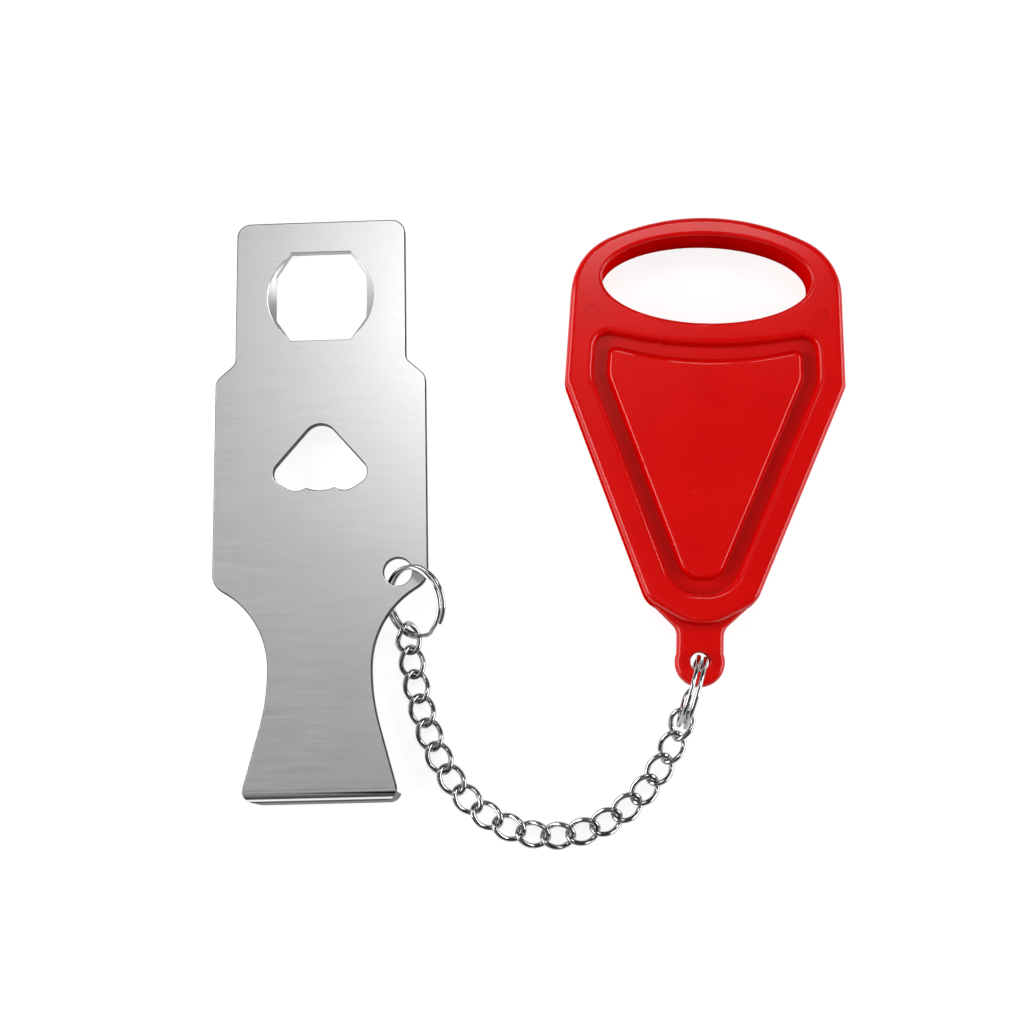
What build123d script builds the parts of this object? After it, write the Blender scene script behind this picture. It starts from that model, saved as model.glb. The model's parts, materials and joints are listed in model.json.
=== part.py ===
from build123d import *
import math
import os

os.makedirs("parts", exist_ok=True)

# Portable door lock: a steel plate with a claw, a curb chain between two split
# rings, and a moulded wedge handle, lying on a table. All sizes in millimetres.
# Lengths on the plate run from its head end, lengths on the handle from its lug end.

# Steel plate, its sections listed from the head end to the tail
plate_thick = 1.6
plate_edge_round = 0.3
hole_edge_round = 0.2
head_length = 29.6
head_width = 34.2
shoulder_length = 3.5
body_length = 41.5
body_width = 42.0
taper_length = 6.6
waist_length = 15.8
waist_width = 20.2
flare_length = 19.2
tail_width = 30.6
# How much of the sides before and after each corner its round takes up
plate_corner_shares = [
    (0.09, 0.095),
    (0.3, 0.155),
    (0.22, 0.3),
    (0.3, 0.177),
    (0.775, 0.625),
    (0.337, 0.35),
    (0.145, 0.1),
]

# Claw, the tail end bent back
claw_reach = 9.0
claw_bend_inside = 0.8

# Key hole, a circle on the front face cut flat above and below, narrower at the back
key_hole_rim = 6.6
key_hole_diameter = 21.4
key_hole_height = 18.6
key_hole_back_width = 18.2
key_flat_share = 0.66
key_side_share = 0.495

# Opener hole, a rounded triangle with three scallops on its long side
opener_drop = 9.4
opener_top_rise = 1.7
opener_side_drop = 10.6
opener_height = 13.0
opener_width = 21.2
opener_base_share = 0.632
opener_cusp_share = 0.418
opener_scallop_depth = 0.6
opener_top_share = 0.243
opener_side_shares = (0.188, 0.66)

# Chain hole, at the body's lower corner
chain_hole_clearance = 1.685
chain_hole_side = 5.85
chain_hole_rise = 1.9

# Split rings
ring_diameter = 14.4
ring_wire = 0.85
ring_turn_gap = 0.43
ring_cross_angle = 38
ring_end_angle = 4
ring_half_turn = 180

# Chain links
link_count = 19
link_wire = 1.05
link_length = 7.05
link_width = 5.42
link_end_twist = 45
link_gap = 0.1
first_seat_gap = 0.85
last_seat_gap = 0.9

# Wedge handle, its sections listed upwards from the lug hole
handle_thick = 9.6
handle_draft = 2.0
handle_edge_round = 1.3
tip_rise = 11.4
tip_width = 21.1
wedge_length = 42.4
wide_width = 54.7
side_length = 25.9
top_width = 52.5
crown_height = 12.6
foot_height = 5.9
# How much of the sides before and after each corner its round takes up
crown_share = 0.73
handle_corner_shares = [(0.26, 0.3), (0.03, 0.014), (0.039, 0.146)]
foot_share = 0.46

# Lug for the ring
lug_diameter = 9.6
lug_thick = 3.6
lug_edge_round = 1.2
lug_hole_clearance = 0.785
lug_hole_round = 0.5
neck_width = 9.0
neck_rise = 6.2
flare_width_share = 0.91
flare_rise_share = 0.97
neck_corner_shares = [(0, 0), (0.3, 0.2), (0, 0)]

# Grip opening
grip_top_rim = 4.0
grip_side_rim = 5.9
grip_height = 17.5
grip_draft = 2.0
grip_edge_round = 0.7

# Recessed panel on both faces: a groove round a raised pad
panel_depth = 2.0
panel_draft = 10.0
panel_edge_round = 1.0
panel_web = 4.5
panel_top_dip = 4.1
panel_margin = 5.5
panel_tip_rim = 7.4
groove_width = 2.5
pad_drop = 0.6
pad_draft = 30.0
pad_edge_round = 0.9
panel_dip_share = 0.75
panel_corner_shares = [(0.23, 0.35), (0.16, 0.05), (0.13, 0.43)]
pad_corner_shares = [(0.2, 0.32), (0.16, 0.05), (0.09, 0.43)]

# Round marks on the handle's rim
mark_diameter = 2.8
mark_depth = 0.15
mark_side = 4.0
mark_drop = 7.2

# How the pieces lie, in degrees where they are turns
rest_gap = 0.05
plate_x = -42.3
plate_y = 63.9
plate_turn = 1.4
ring_aim = -58
ring_lean = 42
ring_dip = -5
plate_ring_spin = 20
ring_hook_angle = -57
chain_turns = [-84.1, 3.1, 3.1, 3.5, 4.5, 6.2, 8.3, 10.2, 11.3, 12]
chain_turns += [12.5, 12.8, 12.8, 12.2, 11.1, 9.7, 8.2, 7.1, 6.6]
chain_lift_share = 0.25
chain_drop_shares = [0.525, 0.393, 0.082]
chain_last_dips = [-8, -15]
chain_first_rolls = [-24, -16, -6]
chain_last_rolls = [-10, -22]
handle_ring_turn = 2
handle_ring_spin = 298
handle_turn = -1.7

cut_overrun = 1.0
sample_count = 720


def round_radii(points, shares):
    """Radius at each corner of an outline, from the shares of the two sides that meet there."""
    radii = []
    for index, (before_share, after_share) in enumerate(shares):
        corner = Vector(*points[index])
        before = Vector(*points[index - 1]) - corner
        after = Vector(*points[(index + 1) % len(points)]) - corner
        reach = min(before_share * before.length, after_share * after.length)
        radii.append(reach * math.tan(math.radians(before.get_angle(after) / 2)))
    return radii


def even_face(right, shares, top=(), bottom=()):
    """Face with a rounded outline that is even about the Y axis.

    Its right side runs downwards; top and bottom hold an optional corner on the axis
    and the share of its sides that its round takes up.
    """
    points = [point for point, share in top] + right + [point for point, share in bottom]
    points += [(-x, y) for x, y in reversed(right)]
    both = [(share, share) for point, share in top] + shares
    both += [(share, share) for point, share in bottom] + [pair[::-1] for pair in reversed(shares)]
    face = make_face(Polyline(*points, close=True))
    for point, radius in zip(points, round_radii(points, both)):
        if radius > 0:
            face = fillet(face.vertices().sort_by_distance(Vector(*point))[0], radius)
    return face


# Plate, drawn flat with its head end on the X axis and its back face at zero height
body_start = head_length + shoulder_length
body_end = body_start + body_length
waist_start = body_end + taper_length
flare_start = waist_start + waist_length
plate_length = flare_start + flare_length


def plate_outline():
    right = [
        (head_width / 2, 0),
        (head_width / 2, -head_length),
        (body_width / 2, -body_start),
        (body_width / 2, -body_end),
        (waist_width / 2, -waist_start),
        (waist_width / 2, -flare_start),
        (tail_width / 2, -plate_length),
    ]
    return even_face(right, plate_corner_shares)


def bent_sheet():
    """The sheet seen from its side: flat, with the tail end turned down into the claw."""
    tail = -plate_length
    outside = claw_bend_inside + plate_thick
    centre = tail + outside
    with BuildSketch(Plane.YZ) as side:
        with BuildLine():
            Polyline(
                (centre, 0),
                (cut_overrun, 0),
                (cut_overrun, plate_thick),
                (centre, plate_thick),
            )
            RadiusArc((centre, plate_thick), (tail, plate_thick - outside), -outside)
            Polyline(
                (tail, plate_thick - outside),
                (tail, -claw_reach),
                (tail + plate_thick, -claw_reach),
                (tail + plate_thick, plate_thick - outside),
            )
            RadiusArc((tail + plate_thick, plate_thick - outside), (centre, 0), claw_bend_inside)
        make_face()
    return extrude(side.sketch, amount=max(head_width, body_width, tail_width), both=True)


def key_hole():
    """Octagonal hole, opened to a circle between its flats on the front face."""
    flat = key_hole_height / 2
    side = key_hole_back_width / 2
    octagon = Polyline(
        (side * key_flat_share, flat),
        (side, flat * key_side_share),
        (side, -flat * key_side_share),
        (side * key_flat_share, -flat),
        (-side * key_flat_share, -flat),
        (-side, -flat * key_side_share),
        (-side, flat * key_side_share),
        (-side * key_flat_share, flat),
        close=True,
    )
    through = extrude(make_face(octagon), amount=plate_thick + cut_overrun, both=True)
    slab = Box(key_hole_diameter, key_hole_height, plate_thick)
    cone = Cone(key_hole_back_width / 2, key_hole_diameter / 2, plate_thick)
    bevel = Pos(0, 0, plate_thick / 2) * (cone & slab)
    return Pos(0, -key_hole_rim - flat, 0) * (through + bevel)


def opener_hole():
    """Rounded triangle whose long side has three scallops between two cusps."""
    base = -opener_height
    end = opener_width / 2 * opener_base_share
    cusp = end * opener_cusp_share
    top = ((0, opener_top_rise), opener_top_share)
    right = [(opener_width / 2, -opener_side_drop), (end, base)]
    triangle = even_face(right, [opener_side_shares, (0, 0)], top=[top])
    hole = extrude(triangle, amount=plate_thick + cut_overrun, both=True)
    for start, stop in ((-end, -cusp), (-cusp, cusp), (cusp, end)):
        middle = ((start + stop) / 2, base - opener_scallop_depth)
        arc = ThreePointArc((start, base), middle, (stop, base))
        lobe = make_face(Curve() + [arc, Line((stop, base), (start, base))])
        hole += extrude(lobe, amount=plate_thick + cut_overrun, both=True)
    return Pos(0, -body_start - opener_drop, 0) * hole


ring_bundle = 2 * ring_wire + ring_turn_gap
chain_hole_diameter = ring_bundle + 2 * chain_hole_clearance
chain_hole_place = Pos(body_width / 2 - chain_hole_side, -body_end + chain_hole_rise, plate_thick / 2)


def plate_blank():
    """The outline as a tall block, rounded along its upper rim."""
    block = Pos(0, 0, -claw_reach) * extrude(plate_outline(), amount=claw_reach + plate_thick)
    return fillet(block.faces().sort_by(Axis.Z)[-1].edges(), plate_edge_round)


def door_plate():
    plate = bent_sheet() & plate_blank()
    plate -= chain_hole_place * Cylinder(chain_hole_diameter / 2, plate_thick + cut_overrun)
    plate -= key_hole()
    plate -= opener_hole()
    front = plate.faces().sort_by(Axis.Z)[-1]
    edges = [edge for wire in front.inner_wires() for edge in wire.edges()]
    return fillet(edges, hole_edge_round)


# Wire forms
def unit(vector):
    return vector / vector.length


def biarc(start, start_way, end, end_way):
    """Two tangent arcs from start to end that leave and arrive in the given ways."""
    start_way = unit(start_way)
    end_way = unit(end_way)
    span = end - start
    both = start_way + end_way
    spread = 2 * (1 - start_way.dot(end_way))
    if spread * sample_count < 1:
        reach = span.dot(span) / (4 * span.dot(end_way))
    else:
        reach = (-span.dot(both) + math.sqrt(span.dot(both) ** 2 + spread * span.dot(span))) / spread
    joint = (start + start_way * reach + end - end_way * reach) / 2
    joint_way = (end - end_way * reach) - (start + start_way * reach)
    return [
        Edge.make_tangent_arc(start, start_way, joint),
        Edge.make_tangent_arc(joint, joint_way, end),
    ]


def wire_along(edges, diameter):
    path = Wire(edges)
    section = Plane(origin=path @ 0, z_dir=path % 0) * Circle(diameter / 2)
    return sweep(section, path=path)


link_half = (link_length - link_wire) / 2
link_side = (link_width - link_wire) / 2
link_pitch = link_length - 2 * link_wire - link_gap


def link_point(angle):
    """Point of a link's centreline: an oval twisted about its long axis."""
    twist = math.radians(link_end_twist) * math.cos(angle)
    side = link_side * math.sin(angle)
    return Vector(link_half * math.cos(angle), side * math.cos(twist), side * math.sin(twist))


def link_way(angle):
    """Direction of the centreline at the same angle."""
    most = math.radians(link_end_twist)
    twist = most * math.cos(angle)
    swing = -most * math.sin(angle) * link_side * math.sin(angle)
    side = link_side * math.cos(angle)
    return Vector(
        -link_half * math.sin(angle),
        side * math.cos(twist) - swing * math.sin(twist),
        side * math.sin(twist) + swing * math.cos(twist),
    )


def link_half_turn(start):
    """One half of a link's wire, from one end of the link to the other."""
    middle = start + math.pi / 2
    end = start + math.pi
    edges = biarc(link_point(start), link_way(start), link_point(middle), link_way(middle))
    edges += biarc(link_point(middle), link_way(middle), link_point(end), link_way(end))
    return wire_along(edges, link_wire)


def chain_link():
    return link_half_turn(0) + link_half_turn(math.pi)


ring_radius = (ring_diameter - ring_wire) / 2
ring_rise = ring_wire + ring_turn_gap


def ring_point(angle, height):
    turn = math.radians(angle)
    return Vector(ring_radius * math.cos(turn), ring_radius * math.sin(turn), height)


def ring_way(angle):
    turn = math.radians(angle)
    return Vector(-math.sin(turn), math.cos(turn), 0)


def flat_turn(start, end, height):
    """A planar turn of the ring in arcs of at most half a turn."""
    count = math.ceil((end - start) / ring_half_turn)
    edges = []
    for index in range(count):
        first = start + (end - start) * index / count
        last = start + (end - start) * (index + 1) / count
        from_point = ring_point(first, height)
        to_point = ring_point(last, height)
        edges.append(Edge.make_tangent_arc(from_point, ring_way(first), to_point))
    return edges


def split_ring_edges():
    """Two turns side by side, joined by one crossover between the wire's ends."""
    low = -ring_rise / 2
    high = ring_rise / 2
    cross_start = 360 - ring_cross_angle - ring_end_angle
    cross_end = 360 - ring_end_angle
    finish = cross_end + cross_start
    edges = flat_turn(0, cross_start, low)
    edges += biarc(
        ring_point(cross_start, low),
        ring_way(cross_start),
        ring_point(cross_end, high),
        ring_way(cross_end),
    )
    return edges + flat_turn(cross_end, finish, high)


def least_self_gap(edges, diameter):
    """Least clear space between stretches of one wire that are more than a few diameters apart on it."""
    path = Wire(edges)
    points = [path.position_at(index / sample_count) for index in range(sample_count + 1)]
    step = path.length / sample_count
    skip = math.ceil(3 * diameter / step)
    least = path.length
    for first, point in enumerate(points):
        for other in points[first + skip:]:
            least = min(least, (point - other).length)
    return least - diameter


def split_ring():
    edges = split_ring_edges()
    print("split ring: least gap between turns", round(least_self_gap(edges, ring_wire), 3))
    return wire_along(edges, ring_wire)


# Wedge handle, drawn with its lug hole at the origin and its grip towards +Y
wide_rise = tip_rise + wedge_length
top_rise = wide_rise + side_length
apex_rise = top_rise + crown_height
handle_right = [(top_width / 2, top_rise), (wide_width / 2, wide_rise), (tip_width / 2, tip_rise)]
crown_slope = math.atan(2 * crown_height / top_width)
crown_side = top_width / 2 / math.cos(crown_slope)
handle_top = apex_rise - crown_share * crown_side * math.tan(crown_slope / 2)
grip_width = top_width - 2 * grip_side_rim
grip_rise = handle_top - grip_top_rim - grip_height / 2


def handle_outline():
    apex = ((0, apex_rise), crown_share)
    foot = ((0, tip_rise - foot_height), foot_share)
    return even_face(handle_right, handle_corner_shares, top=[apex], bottom=[foot])


lug_hole_diameter = ring_bundle + 2 * lug_hole_clearance


def lug_plate():
    """Thin tongue that carries the ring's hole and runs up into the body."""
    flare = (tip_width / 2 * flare_width_share, tip_rise * flare_rise_share)
    right = [flare, (neck_width / 2, neck_rise), (neck_width / 2, 0)]
    face = even_face(right, neck_corner_shares) + Circle(lug_diameter / 2)
    plate = extrude(face, amount=lug_thick / 2, both=True)
    plate = fillet(plate.edges().filter_by(Axis.Z, reverse=True), lug_edge_round)
    plate -= Cylinder(lug_hole_diameter / 2, lug_thick)
    rims = plate.edges().filter_by(GeomType.CIRCLE)
    rims = [edge for edge in rims if abs(edge.radius - lug_hole_diameter / 2) < rest_gap]
    return fillet(rims, lug_hole_round)


def grip_cutter():
    upper = extrude(Ellipse(grip_width / 2, grip_height / 2), amount=handle_thick, taper=-grip_draft)
    return Pos(0, grip_rise, 0) * (upper + mirror(upper, about=Plane.XY))


def panel_face(inset, corner_shares):
    """The panel's outline, drawn in from the handle's sides, the grip and the foot."""
    top, wide, tip = handle_right
    upper_slope = (top[0] - wide[0]) / (top[1] - wide[1])
    lower_slope = (wide[0] - tip[0]) / (wide[1] - tip[1])
    upper_margin = (panel_margin + inset) * math.sqrt(1 + upper_slope**2)
    lower_margin = (panel_margin + inset) * math.sqrt(1 + lower_slope**2)
    dip = grip_rise - grip_height / 2 - panel_web - inset - panel_top_dip * panel_dip_share / 2
    high = dip + panel_top_dip
    low = tip_rise - foot_height + panel_tip_rim + inset
    elbow = wide[1] + (upper_margin - lower_margin) / (upper_slope - lower_slope)
    right = [
        (wide[0] + (high - wide[1]) * upper_slope - upper_margin, high),
        (wide[0] + (elbow - wide[1]) * upper_slope - upper_margin, elbow),
        (wide[0] + (low - wide[1]) * lower_slope - lower_margin, low),
    ]
    return even_face(right, corner_shares, top=[((0, dip), panel_dip_share)])


def sloped_block(outline, height, angle):
    """Block on the outline whose walls lean inwards, or outwards where the angle is negative."""
    block = extrude(outline, amount=height)
    return draft(block.faces().filter_by(Axis.Z, reverse=True), Plane.XY, angle)


def panel_cutter():
    """The recess of the front face: deep round the edge, shallow over the pad."""
    floor_height = handle_thick / 2 - panel_depth
    recess = sloped_block(panel_face(0, panel_corner_shares), panel_depth + cut_overrun, -panel_draft)
    pad = sloped_block(panel_face(groove_width, pad_corner_shares), panel_depth - pad_drop, pad_draft)
    pad = fillet(pad.faces().sort_by(Axis.Z)[-1].edges(), pad_edge_round)
    return Pos(0, 0, floor_height) * (recess - pad)


def wedge_handle():
    upper = sloped_block(handle_outline(), handle_thick / 2, handle_draft)
    body = upper + mirror(upper, about=Plane.XY)
    faces = body.faces().sort_by(Axis.Z)
    body = fillet(faces[0].edges() + faces[-1].edges(), handle_edge_round)
    body -= grip_cutter()
    faces = body.faces().sort_by(Axis.Z)
    rims = faces[0].inner_wires() + faces[-1].inner_wires()
    body = fillet([edge for wire in rims for edge in wire.edges()], grip_edge_round)
    recess = panel_cutter()
    body -= recess
    body -= mirror(recess, about=Plane.XY)
    faces = [face for face in body.faces().sort_by(Axis.Z) if len(face.inner_wires()) > 1]
    rims = [face.inner_wires().sort_by(Axis.Y)[0] for face in faces]
    body = fillet([edge for wire in rims for edge in wire.edges()], panel_edge_round)
    mark = Cylinder(mark_diameter / 2, 2 * mark_depth)
    for side in (-1, 1):
        body -= Pos(side * (top_width / 2 - mark_side), grip_rise - mark_drop, handle_thick / 2) * mark
    return body + lug_plate()


# Where each piece lies
def chain_tilts(first, last):
    """Tilts of all links: the given ones at both ends and none between."""
    return first + [0] * (link_count - len(first) - len(last)) + last


def first_dips(drop, spans):
    """Dips that bring the first links down from the ring to the table."""
    return [math.degrees(math.asin(drop * share / span)) for share, span in zip(chain_drop_shares, spans)]


def plate_frame():
    """The plate leans on its head end and on the tip of its claw."""
    slope = math.degrees(math.atan2(claw_reach, plate_length - plate_thick))
    return Pos(plate_x, plate_y, 0) * Rot(0, 0, plate_turn) * Rot(-slope, 0, 0)


def plate_ring_frame():
    """The ring passes the chain hole and leans on the plate's edge."""
    lean = Rot(0, 0, ring_aim) * Rot(ring_lean, 0, 0) * Rot(0, ring_dip, 0)
    return plate_frame() * chain_hole_place * lean * Pos(ring_radius, 0, 0)


def chain_frames():
    """Frames of the links from ring to ring, then the point and heading they end in."""
    hook = plate_ring_frame() * Rot(0, 0, ring_hook_angle) * Pos(ring_radius, 0, 0)
    seat = link_half - (ring_wire + link_wire) / 2
    reaches = [seat - first_seat_gap] + [link_pitch / 2] * (2 * link_count - 2) + [seat - last_seat_gap]
    spans = [reaches[0] + reaches[1], link_pitch, link_pitch]
    drop = hook.position.Z - chain_lift_share * link_width
    dips = chain_tilts(first_dips(drop, spans), chain_last_dips)
    rolls = chain_tilts(chain_first_rolls, chain_last_rolls)
    point = hook.position
    heading = 0
    frames = []
    for index in range(link_count):
        heading += chain_turns[index]
        tilt = Rot(0, 0, heading) * Rot(0, dips[index], 0) * Rot(rolls[index], 0, 0)
        frame = Pos(point) * tilt * Pos(reaches[2 * index], 0, 0)
        frames.append(frame)
        point = (frame * Pos(reaches[2 * index + 1], 0, 0)).position
    return frames, point, heading


def handle_frames(point, heading):
    """The second ring stands on edge in the chain's heading and holds the handle's lug."""
    lift = ring_diameter / 2 + rest_gap
    hook = math.degrees(math.asin((lift - point.Z) / ring_radius))
    upright = Rot(0, 0, heading + handle_ring_turn) * Rot(90, 0, 0)
    ring = Pos(point) * upright * Rot(0, 0, hook) * Pos(ring_radius, 0, 0) * Rot(0, 0, -hook)
    faces = [handle_thick / 2 - lug_thick / 2 - lift, handle_thick / 2 + lug_thick / 2 - lift]
    reach = sum(math.sqrt(ring_radius**2 - face**2) for face in faces) / len(faces)
    lug = ring * Pos(reach, handle_thick / 2 - lift, 0)
    return ring, Pos(lug.position) * Rot(0, 0, handle_turn)


def centred(pieces):
    """Move all pieces together so that they stand centred on the floor."""
    boxes = [piece.bounding_box() for piece in pieces.values()]
    low_x, high_x = min(box.min.X for box in boxes), max(box.max.X for box in boxes)
    low_y, high_y = min(box.min.Y for box in boxes), max(box.max.Y for box in boxes)
    low_z = min(box.min.Z for box in boxes)
    shift = Pos(-(low_x + high_x) / 2, -(low_y + high_y) / 2, -low_z)
    return {name: shift * piece for name, piece in pieces.items()}


def all_pieces():
    ring = split_ring()
    link = chain_link()
    link_frames, point, heading = chain_frames()
    handle_ring_frame, handle_frame = handle_frames(point, heading)
    pieces = {
        "door_plate": plate_frame() * door_plate(),
        "plate_ring": plate_ring_frame() * Rot(0, 0, plate_ring_spin) * ring,
    }
    for number, frame in enumerate(link_frames, start=1):
        pieces[f"chain_link_{number:02d}"] = frame * link
    pieces["handle_ring"] = handle_ring_frame * Rot(0, 0, handle_ring_spin) * ring
    pieces["wedge_handle"] = handle_frame * wedge_handle()
    return centred(pieces)


for name, piece in all_pieces().items():
    export_step(piece, f"parts/{name}.step")
    print(name, "volume", round(piece.volume, 2))
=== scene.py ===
import json
import math

import bpy
from mathutils import Matrix, Vector


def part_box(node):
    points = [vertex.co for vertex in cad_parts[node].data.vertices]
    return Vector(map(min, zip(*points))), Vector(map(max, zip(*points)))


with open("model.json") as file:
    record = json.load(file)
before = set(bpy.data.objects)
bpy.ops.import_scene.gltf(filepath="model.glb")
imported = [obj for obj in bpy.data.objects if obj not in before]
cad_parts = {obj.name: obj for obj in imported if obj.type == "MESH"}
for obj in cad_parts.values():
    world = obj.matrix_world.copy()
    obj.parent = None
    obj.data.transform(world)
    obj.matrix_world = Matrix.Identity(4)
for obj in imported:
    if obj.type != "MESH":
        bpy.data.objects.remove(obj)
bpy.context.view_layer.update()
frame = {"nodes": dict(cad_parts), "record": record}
nodes = frame["nodes"]
print("frame loaded:", len(nodes), "nodes")

# spans that the helpers and the finishes share
upwards = (0.0, 1.0)
downwards = (1.0, 0.0)
noiseSpan = (0.3, 0.7)  # where most values of a noise texture lie
# where a Mix node of each kind has its factor, its two entries and its result
mixSockets = {"FLOAT": (0, 2, 3, 0), "RGBA": (0, 6, 7, 2)}
# width of a column and height of a row in the node editor
editorGrid = (220, 260)


# small helpers for node trees
def addNode(tree, kind, **settings):
    node = tree.nodes.new(kind)
    for name, value in settings.items():
        setattr(node, name, value)
    return node


def plug(tree, value, socket):
    # the value is another node's socket, or else a colour, a vector or a number
    if isinstance(value, bpy.types.NodeSocket):
        tree.links.new(value, socket)
    elif isinstance(value, tuple) and len(socket.default_value) == 4:
        socket.default_value = (*value, 1.0)
    else:
        socket.default_value = value


def calc(tree, operation, first, second=None, clamp=False):
    node = addNode(tree, "ShaderNodeMath", operation=operation, use_clamp=clamp)
    plug(tree, first, node.inputs[0])
    if second is not None:
        plug(tree, second, node.inputs[1])
    return node.outputs[0]


def calcVector(tree, operation, first, second):
    node = addNode(tree, "ShaderNodeVectorMath", operation=operation)
    plug(tree, first, node.inputs[0])
    plug(tree, second, node.inputs[1])
    return node.outputs


def axes(tree, vector):
    node = addNode(tree, "ShaderNodeSeparateXYZ")
    plug(tree, vector, node.inputs[0])
    return node.outputs


def spread(tree, value, span, result):
    # brings a value within the span to its place within the result, and stops at the ends
    node = addNode(tree, "ShaderNodeMapRange", clamp=True)
    plug(tree, value, node.inputs["Value"])
    node.inputs["From Min"].default_value = span[0]
    node.inputs["From Max"].default_value = span[1]
    node.inputs["To Min"].default_value = result[0]
    node.inputs["To Max"].default_value = result[1]
    return node.outputs["Result"]


def blend(tree, kind, factor, first, second):
    node = addNode(tree, "ShaderNodeMix", data_type=kind)
    *entries, result = mixSockets[kind]
    for value, entry in zip((factor, first, second), entries):
        plug(tree, value, node.inputs[entry])
    return node.outputs[result]


def noise(tree, vector, detail, scale=1.0):
    node = addNode(tree, "ShaderNodeTexNoise")
    plug(tree, vector, node.inputs["Vector"])
    plug(tree, scale, node.inputs["Scale"])
    plug(tree, detail, node.inputs["Detail"])
    return node.outputs["Fac"]


def stretched(tree, vector, scale, turn):
    # turns the pattern onto the piece, then stretches it
    turned = addNode(tree, "ShaderNodeMapping", vector_type="TEXTURE")
    plug(tree, vector, turned.inputs["Vector"])
    plug(tree, turn, turned.inputs["Rotation"])
    return calcVector(tree, "MULTIPLY", turned.outputs[0], scale)["Vector"]


def bump(tree, height, values):
    node = addNode(tree, "ShaderNodeBump")
    plug(tree, values["reliefStrength"], node.inputs["Strength"])
    plug(tree, values["relief"], node.inputs["Distance"])
    plug(tree, height, node.inputs["Height"])
    return node.outputs["Normal"]


def arrange(tree):
    # in the editor each node stands left of every node that it feeds
    columns = {node.name: 0 for node in tree.nodes}
    for _ in tree.nodes:
        for link in tree.links:
            ahead = columns[link.to_node.name] + 1
            columns[link.from_node.name] = max(columns[link.from_node.name], ahead)
    rows = dict.fromkeys(columns.values(), 0)
    for node in tree.nodes:
        column = columns[node.name]
        node.location = (-column * editorGrid[0], -rows[column] * editorGrid[1])
        rows[column] += 1


def newMaterial(name):
    material = bpy.data.materials.new(name)
    material.use_nodes = True
    tree = material.node_tree
    tree.nodes.clear()
    surface = addNode(tree, "ShaderNodeOutputMaterial").inputs["Surface"]
    return material, tree, surface


def newFinish(name):
    # gives the shader's inputs too, and a spot's place on the piece and the way it faces
    material, tree, surface = newMaterial(name)
    shader = addNode(tree, "ShaderNodeBsdfPrincipled")
    plug(tree, shader.outputs[0], surface)
    spot = addNode(tree, "ShaderNodeTexCoord").outputs
    return material, tree, shader.inputs, spot


def newGroup(name, vectors, numbers, results):
    tree = bpy.data.node_groups.new(name, "ShaderNodeTree")
    for label in vectors:
        tree.interface.new_socket(label, in_out="INPUT", socket_type="NodeSocketVector")
    for label in numbers:
        tree.interface.new_socket(label, in_out="INPUT", socket_type="NodeSocketFloat")
    for label in results:
        tree.interface.new_socket(label, in_out="OUTPUT", socket_type="NodeSocketFloat")
    given = addNode(tree, "NodeGroupInput").outputs
    result = addNode(tree, "NodeGroupOutput").inputs
    return tree, given, result


def useGroup(tree, group, values):
    node = addNode(tree, "ShaderNodeGroup")
    node.node_tree = group
    for label, value in values.items():
        plug(tree, value, node.inputs[label])
    return node.outputs


# effects that the finishes use, each built once: a size in them is a count of marks for a metre

# faint smudges from fingers and a few specks of dust
markShapes = {
    "detail": 2.0,
    "smudge": (0.25, 0.75),  # from where a smudge starts to where it is whole
    "speck": (0.1, 0.3),  # from a speck's solid middle to its end, in shares of its cell
}


def makeHandlingMarks(values):
    tree, given, result = newGroup(
        "handlingMarks", ["Vector"], ["Smudge Size", "Speck Size", "Speck Share"],
        ["Smudge", "Speck"])
    smudge = noise(tree, given["Vector"], values["detail"], given["Smudge Size"])
    plug(tree, spread(tree, smudge, values["smudge"], upwards), result["Smudge"])
    cells = addNode(tree, "ShaderNodeTexVoronoi")
    plug(tree, given["Vector"], cells.inputs["Vector"])
    plug(tree, given["Speck Size"], cells.inputs["Scale"])
    chosen = addNode(tree, "ShaderNodeSeparateColor")
    plug(tree, cells.outputs["Color"], chosen.inputs[0])
    few = calc(tree, "LESS_THAN", chosen.outputs[0], given["Speck Share"])
    dot = spread(tree, cells.outputs["Distance"], values["speck"], downwards)
    plug(tree, calc(tree, "MULTIPLY", few, dot), result["Speck"])
    arrange(tree)
    return tree


# two sizes of fine relief, as one height, and the broad one alone
grainShapes = {"detail": 2.0}


def makeGrain(values):
    tree, given, result = newGroup(
        "fineGrain", ["Vector"], ["Fine Size", "Broad Size", "Broad Share"],
        ["Height", "Broad"])
    fine = noise(tree, given["Vector"], values["detail"], given["Fine Size"])
    broad = noise(tree, given["Vector"], values["detail"], given["Broad Size"])
    plug(tree, blend(tree, "FLOAT", given["Broad Share"], fine, broad), result["Height"])
    plug(tree, broad, result["Broad"])
    arrange(tree)
    return tree


# how far a spot turns away from the sheet's face, from 0 to 1 on an upright wall:
# where the painted highlight on the rim, the painted shade on the cut wall and the painted shade on
# the outer part of the bend start and where they are whole
edgeTurns = {
    "rim": (0.004, 0.015),
    "wallShade": (0.03, 0.07),
    "bendShade": (0.42, 0.54),
}


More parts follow.
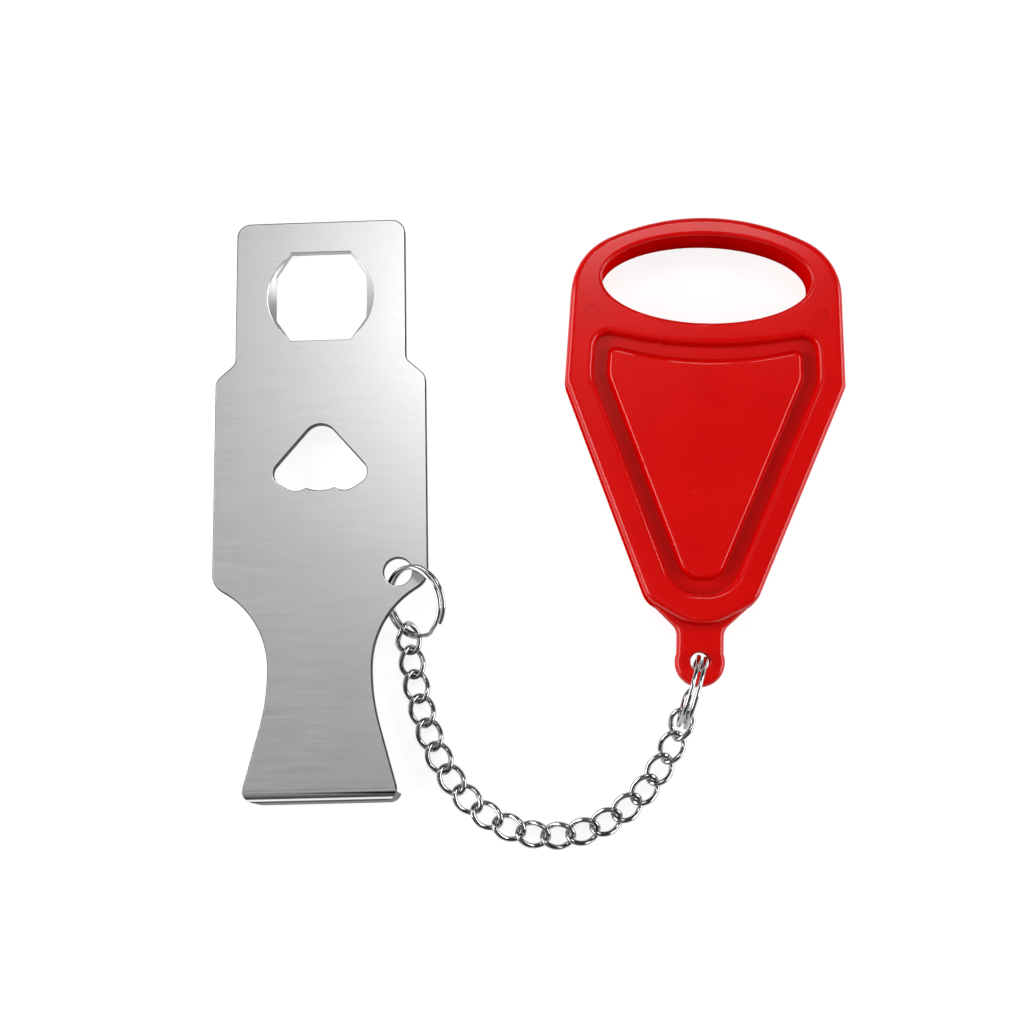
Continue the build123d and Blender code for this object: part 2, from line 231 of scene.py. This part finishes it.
def makeSheetEdges(values):
    tree, given, result = newGroup(
        "sheetEdges", ["Normal", "Position", "Face"], ["Bend Line"], ["Rim", "Wall Shade"])
    facing = calcVector(tree, "DOT_PRODUCT", given["Normal"], given["Face"])["Value"]
    away = calc(tree, "SUBTRACT", 1.0, calc(tree, "ABSOLUTE", facing))
    sideways = calc(tree, "ABSOLUTE", axes(tree, given["Normal"])["X"])
    # past the bend line the sheet itself turns away, so only its side walls count
    inBend = calc(tree, "LESS_THAN", axes(tree, given["Position"])["Y"], given["Bend Line"])
    edge = blend(tree, "FLOAT", inBend, away, sideways)
    # Rim: mask of the painted highlight on the rounded top edge
    plug(tree, spread(tree, edge, values["rim"], upwards), result["Rim"])
    # Wall: mask of the painted shade on the cut walls and the outer half of the bend
    cutWallShade = spread(tree, edge, values["wallShade"], upwards)
    # the outer half of the bend gets the same painted shade as the cut walls
    bentShade = calc(tree, "MULTIPLY", spread(tree, away, values["bendShade"], upwards), inBend)
    plug(tree, calc(tree, "MAXIMUM", cutWallShade, bentShade), result["Wall Shade"])
    arrange(tree)
    return tree


handlingMarks = makeHandlingMarks(markShapes)
fineGrain = makeGrain(grainShapes)
sheetEdges = makeSheetEdges(edgeTurns)
print("effects built")


# steel plate, brushed across its width, with a painted highlight on its rim and nearly black
# painted shade on its cut walls and bend
plateSteel = {
    "dark": (0.565, 0.565, 0.57),
    "light": (0.635, 0.635, 0.64),
    # rim: painted highlight on the rounded top edge
    "rim": (0.85, 0.85, 0.85),
    # wall: nearly black painted shade on the cut walls and the outer half of the bend
    "wallShade": (0.028, 0.028, 0.029),
    # seat: paler painted shade on the pressed seat round the key hole
    "seat": (0.38, 0.38, 0.385),
    "seatReach": (0.0114, 0.0116),  # the seat's end, in metres from the key hole's middle
    "turn": math.radians(1.4),  # how the plate lies: turned on the table
    "slope": math.radians(-4.5),  # and leaning on its claw
    "bendDepth": 0.0026,  # from the bend line to the tail's end
    "fineLines": (280.0, 5600.0, 5600.0),  # brush lines for a metre along and across them
    "fineDetail": 3.0,
    "broadLines": (110.0, 1700.0, 1700.0),
    "broadDetail": 2.0,
    "roughness": (0.31, 0.38),
    "rimRoughness": 0.16,
    "wallRoughness": 0.45,
    "marks": {"Smudge Size": 40.0},
    "smudgeRoughness": 0.02,
    "relief": 0.000006,
    "reliefStrength": 0.5,
}


def makePlateSteel(values, bendLine, keyHole):
    material, tree, shader, spot = newFinish("brushedPlateSteel")
    lean = values["slope"]
    turn = (lean, 0.0, values["turn"])
    fine = stretched(tree, spot["Object"], values["fineLines"], turn)
    broad = stretched(tree, spot["Object"], values["broadLines"], turn)
    fine = noise(tree, fine, values["fineDetail"])
    broad = noise(tree, broad, values["broadDetail"])
    lines = calc(tree, "MULTIPLY", calc(tree, "ADD", fine, broad), 0.5)  # the mean of both
    marks = useGroup(tree, handlingMarks, {"Vector": spot["Object"], **values["marks"]})
    edges = useGroup(tree, sheetEdges, {
        "Normal": spot["Normal"], "Position": spot["Object"],
        "Face": (0.0, -math.sin(lean), math.cos(lean)), "Bend Line": bendLine})
    tone = spread(tree, lines, noiseSpan, upwards)
    brushed = blend(tree, "RGBA", tone, values["dark"], values["light"])
    # painted highlight on the rim
    rimmed = blend(tree, "RGBA", edges["Rim"], brushed, values["rim"])
    # the painted shade on the pressed seat round the key hole is paler than on the other cut walls
    fromKeyHole = calcVector(tree, "DISTANCE", spot["Object"], keyHole)["Value"]
    pastSeat = spread(tree, fromKeyHole, values["seatReach"], upwards)
    wallShade = blend(tree, "RGBA", pastSeat, values["seat"], values["wallShade"])
    # painted shade on the cut walls and the bend
    plug(tree, blend(tree, "RGBA", edges["Wall Shade"], rimmed, wallShade), shader["Base Color"])
    rough = spread(tree, lines, noiseSpan, values["roughness"])
    smudged = calc(tree, "MULTIPLY", marks["Smudge"], values["smudgeRoughness"])
    rough = calc(tree, "ADD", rough, smudged)
    rough = blend(tree, "FLOAT", edges["Rim"], rough, values["rimRoughness"])
    rough = blend(tree, "FLOAT", edges["Wall Shade"], rough, values["wallRoughness"])
    plug(tree, rough, shader["Roughness"])
    plug(tree, 1.0, shader["Metallic"])
    plug(tree, bump(tree, lines, values), shader["Normal"])
    arrange(tree)
    return material


# nickel plated wire of the two rings, and of the chain, which is a little duller
ringNickel = {
    "dark": (0.34, 0.34, 0.345),
    "light": (0.46, 0.46, 0.465),
    "tarnish": (0.16, 0.15, 0.14),
    "tarnishShare": 0.5,
    "roughness": (0.08, 0.16),
    "grain": {"Fine Size": 5000.0, "Broad Size": 500.0, "Broad Share": 0.6},
    "marks": {"Smudge Size": 260.0, "Speck Size": 1500.0, "Speck Share": 0.03},
    "relief": 0.00001,
    "reliefStrength": 0.35,
}
chainNickel = {
    **ringNickel,
    "dark": (0.31, 0.31, 0.315),
    "light": (0.44, 0.44, 0.445),
    "tarnish": (0.14, 0.13, 0.12),
    "roughness": (0.09, 0.18),
    "grain": {"Fine Size": 4200.0, "Broad Size": 420.0, "Broad Share": 0.6},
    "relief": 0.000015,
}


def makeNickel(name, values):
    material, tree, shader, spot = newFinish(name)
    grain = useGroup(tree, fineGrain, {"Vector": spot["Object"], **values["grain"]})
    marks = useGroup(tree, handlingMarks, {"Vector": spot["Object"], **values["marks"]})
    plating = blend(tree, "RGBA", grain["Broad"], values["dark"], values["light"])
    speck = calc(tree, "MULTIPLY", marks["Speck"], values["tarnishShare"])
    plug(tree, blend(tree, "RGBA", speck, plating, values["tarnish"]), shader["Base Color"])
    plug(tree, spread(tree, marks["Smudge"], upwards, values["roughness"]), shader["Roughness"])
    plug(tree, 1.0, shader["Metallic"])
    plug(tree, bump(tree, grain["Height"], values), shader["Normal"])
    arrange(tree)
    return material


# moulded red plastic of the wedge handle
handleRed = {
    "deep": (0.50, 0.0008, 0.0002),
    "bright": (0.545, 0.0012, 0.0004),
    "scuff": (0.72, 0.05, 0.03),
    "scuffShare": 0.2,
    "shine": 0.27,
    "shineSlopes": (0.1, 0.45),  # the normal's rise where the shine starts and where it is full
    "roughness": (0.13, 0.17),
    "grain": {"Fine Size": 2200.0, "Broad Size": 120.0, "Broad Share": 0.2},
    "grainShare": 0.5,
    "marks": {"Smudge Size": 40.0, "Speck Size": 650.0, "Speck Share": 0.012},
    "relief": 0.000012,
    "reliefStrength": 0.3,
    "partingWidth": 0.00012,
}


def makeHandleRed(values, partingHeight):
    material, tree, shader, spot = newFinish("mouldedRedPlastic")
    grain = useGroup(tree, fineGrain, {"Vector": spot["Object"], **values["grain"]})
    marks = useGroup(tree, handlingMarks, {"Vector": spot["Object"], **values["marks"]})
    tone = spread(tree, grain["Broad"], noiseSpan, upwards)
    red = blend(tree, "RGBA", tone, values["deep"], values["bright"])
    speck = calc(tree, "MULTIPLY", marks["Speck"], values["scuffShare"])
    plug(tree, blend(tree, "RGBA", speck, red, values["scuff"]), shader["Base Color"])
    plug(tree, spread(tree, marks["Smudge"], upwards, values["roughness"]), shader["Roughness"])
    # upright walls are matt, the faces and their round edges shine
    level = calc(tree, "ABSOLUTE", axes(tree, spot["Normal"])["Z"])
    shine = spread(tree, level, values["shineSlopes"], (0.0, values["shine"]))
    plug(tree, shine, shader["Specular IOR Level"])
    # the parting line runs round the edge at mid height
    away = calc(tree, "SUBTRACT", axes(tree, spot["Object"])["Z"], partingHeight)
    away = calc(tree, "ABSOLUTE", away)
    line = spread(tree, away, (0.0, values["partingWidth"]), downwards)
    height = calc(tree, "MULTIPLY", grain["Height"], values["grainShare"])
    height = calc(tree, "ADD", height, line)
    plug(tree, bump(tree, height, values), shader["Normal"])
    arrange(tree)
    return material


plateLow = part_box("door_plate")[0]
handleLow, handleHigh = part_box("wedge_handle")
keyHole = next(tuple(mount["pos_m"]) for mount in frame["record"]["mounts"]
               if mount["name"] == "key_hole")
plateMaterial = makePlateSteel(plateSteel, plateLow[1] + plateSteel["bendDepth"], keyHole)
ringMaterial = makeNickel("nickelRingWire", ringNickel)
chainMaterial = makeNickel("nickelChainWire", chainNickel)
handleMaterial = makeHandleRed(handleRed, (handleLow[2] + handleHigh[2]) / 2)
finishes = {
    "door_plate": plateMaterial,
    "plate_ring": ringMaterial,
    "handle_ring": ringMaterial,
    "wedge_handle": handleMaterial,
}
for name, node in nodes.items():
    node.data.materials.clear()
    node.data.materials.append(finishes.get(name, chainMaterial))
print("finishes set")


def seenRays(tree):
    # one for what the camera sees, also in mirrors and through clear things, else nothing
    rays = addNode(tree, "ShaderNodeLightPath").outputs
    seen = calc(tree, "ADD", rays["Is Camera Ray"], rays["Is Glossy Ray"])
    return calc(tree, "ADD", seen, rays["Is Transmission Ray"], clamp=True)


# table top of milky glass: the white of the horizon shows through it, with the shadows on it,
# and so does a piece that a joint swings below it
studioFloor = {"size": 6.0, "colour": (0.3, 0.3, 0.3), "clear": 0.8}


def makeFloor(values):
    half = values["size"] / 2
    corners = [(-half, -half, 0), (half, -half, 0), (half, half, 0), (-half, half, 0)]
    mesh = bpy.data.meshes.new("tableTop")
    mesh.from_pydata(corners, [], [(0, 1, 2, 3)])
    floor = bpy.data.objects.new("tableTop", mesh)
    bpy.context.scene.collection.objects.link(floor)
    material, tree, surface = newMaterial("whiteTable")
    matt = addNode(tree, "ShaderNodeBsdfDiffuse")
    plug(tree, values["colour"], matt.inputs["Color"])
    # only what is seen and the lamps' own light pass the glass
    glass = addNode(tree, "ShaderNodeBsdfTransparent")
    lamps = addNode(tree, "ShaderNodeLightPath").outputs["Is Shadow Ray"]
    passed = calc(tree, "ADD", seenRays(tree), lamps, clamp=True)
    plug(tree, calc(tree, "MULTIPLY", passed, values["clear"]), glass.inputs["Color"])
    both = addNode(tree, "ShaderNodeAddShader")
    plug(tree, matt.outputs[0], both.inputs[0])
    plug(tree, glass.outputs[0], both.inputs[1])
    plug(tree, both.outputs[0], surface)
    arrange(tree)
    mesh.materials.append(material)
    return floor


makeFloor(studioFloor)

# surroundings as they are seen: white at the horizon, dark above it and grey overhead, with
# heights and places across as parts of a direction of length one, and the even light's level
surroundings = {
    "white": (1.0, 1.0, 1.0),
    "lightLevel": 0.42,
    "dark": 0.05,
    "overhead": 0.4,
    "horizonHeights": (0.05, 0.12),
    "overheadHeights": (0.45, 0.85),
    "riseAcross": (-0.26, -0.05),
    "rise": (0.55, 1.4),
    "clothAcross": (-0.02, 0.05),
    "cloth": 0.07,
}


def makeSurroundings(values):
    world = bpy.data.worlds.new("studioSurroundings")
    bpy.context.scene.world = world
    world.use_nodes = True
    tree = world.node_tree
    tree.nodes.clear()
    lit = addNode(tree, "ShaderNodeBackground")
    seen = addNode(tree, "ShaderNodeBackground")
    for light in (lit, seen):
        plug(tree, values["white"], light.inputs["Color"])
    plug(tree, values["lightLevel"], lit.inputs["Strength"])
    direction = axes(tree, addNode(tree, "ShaderNodeTexCoord").outputs["Generated"])
    low = spread(tree, direction["Z"], values["horizonHeights"], (1.0, values["dark"]))
    high = spread(tree, direction["Z"], values["overheadHeights"],
                  (0.0, values["overhead"] - values["dark"]))
    # overhead it grows brighter to the right over the plate, and a dark cloth is over the handle
    rise = spread(tree, direction["X"], values["riseAcross"], values["rise"])
    cloth = spread(tree, direction["X"], values["clothAcross"], (1.0, values["cloth"]))
    high = calc(tree, "MULTIPLY", high, calc(tree, "MULTIPLY", rise, cloth))
    plug(tree, calc(tree, "ADD", low, high), seen.inputs["Strength"])
    pick = addNode(tree, "ShaderNodeMixShader")
    plug(tree, seenRays(tree), pick.inputs[0])
    plug(tree, lit.outputs[0], pick.inputs[1])
    plug(tree, seen.outputs[0], pick.inputs[2])
    output = addNode(tree, "ShaderNodeOutputWorld")
    plug(tree, pick.outputs[0], output.inputs["Surface"])
    arrange(tree)


makeSurroundings(surroundings)

# soft boxes: each stands at its place and faces its aim, with its power in watts
plateMiddle = (-0.042, 0.0, 0.0)
handleMiddle = (0.044, 0.015, 0.0)
softBoxes = {
    "overPlate": {
        "aim": plateMiddle,
        "place": (0.032, 0.374, 0.703),
        "size": (0.26, 0.22),
        "power": 1.08,
    },
    "leftStrip": {
        "aim": handleMiddle,
        "place": (-0.38, 0.0, 0.19),
        "size": (0.46, 0.2),
        "power": 2.1,
    },
    "rightStrip": {
        "aim": handleMiddle,
        "place": (0.467, 0.0, 0.19),
        "size": (0.46, 0.2),
        "power": 2.0,
    },
}


def makeSoftBox(name, values):
    lamp = bpy.data.lights.new(name, "AREA")
    lamp.shape = "RECTANGLE"
    lamp.size, lamp.size_y = values["size"]
    lamp.energy = values["power"]
    holder = bpy.data.objects.new(name, lamp)
    bpy.context.scene.collection.objects.link(holder)
    away = Vector(values["place"]) - Vector(values["aim"])
    # the long side lies along the world's axis that is nearer to square with the light
    acrossLight = Vector((1.0, 0.0, 0.0)) if abs(away.x) < abs(away.y) else Vector((0.0, 1.0, 0.0))
    upright = away.cross(acrossLight).normalized()
    along = upright.cross(away).normalized()
    turn = Matrix((along, upright, along.cross(upright))).transposed()
    holder.matrix_world = Matrix.Translation(values["place"]) @ turn.to_4x4()


for name, values in softBoxes.items():
    makeSoftBox(name, values)
print("studio ready")

# camera at the photograph's place: a long lens above, leaning a little
photoCamera = {
    "focalPixels": 1636.0,
    "framePixels": 1024.0,
    "sensorWidth": 36.0,
    "nearest": 0.01,
    "tilt": math.radians(8.0),
    "sideLean": math.radians(1.8),
    "pixelOnTable": 0.0001985,
    "middle": (-0.003113, 0.002943),
}


def makeCamera(values):
    tilt, lean = values["tilt"], values["sideLean"]
    right = Vector((math.cos(lean), 0.0, -math.sin(lean)))
    look = Vector((
        -math.sin(lean) * math.cos(tilt), math.sin(tilt), -math.cos(lean) * math.cos(tilt)))
    up = right.cross(look)
    place = Vector((*values["middle"], 0.0)) - look * values["focalPixels"] * values["pixelOnTable"]
    lens = bpy.data.cameras.new("photoCamera")
    lens.sensor_width = values["sensorWidth"]
    lens.lens = values["sensorWidth"] * values["focalPixels"] / values["framePixels"]
    lens.clip_start = values["nearest"]
    camera = bpy.data.objects.new("photoCamera", lens)
    bpy.context.scene.collection.objects.link(camera)
    turn = Matrix((right, up, -look)).transposed()
    camera.matrix_world = Matrix.Translation(place) @ turn.to_4x4()
    bpy.context.scene.camera = camera


makeCamera(photoCamera)
bpy.context.scene.view_settings.view_transform = "Standard"
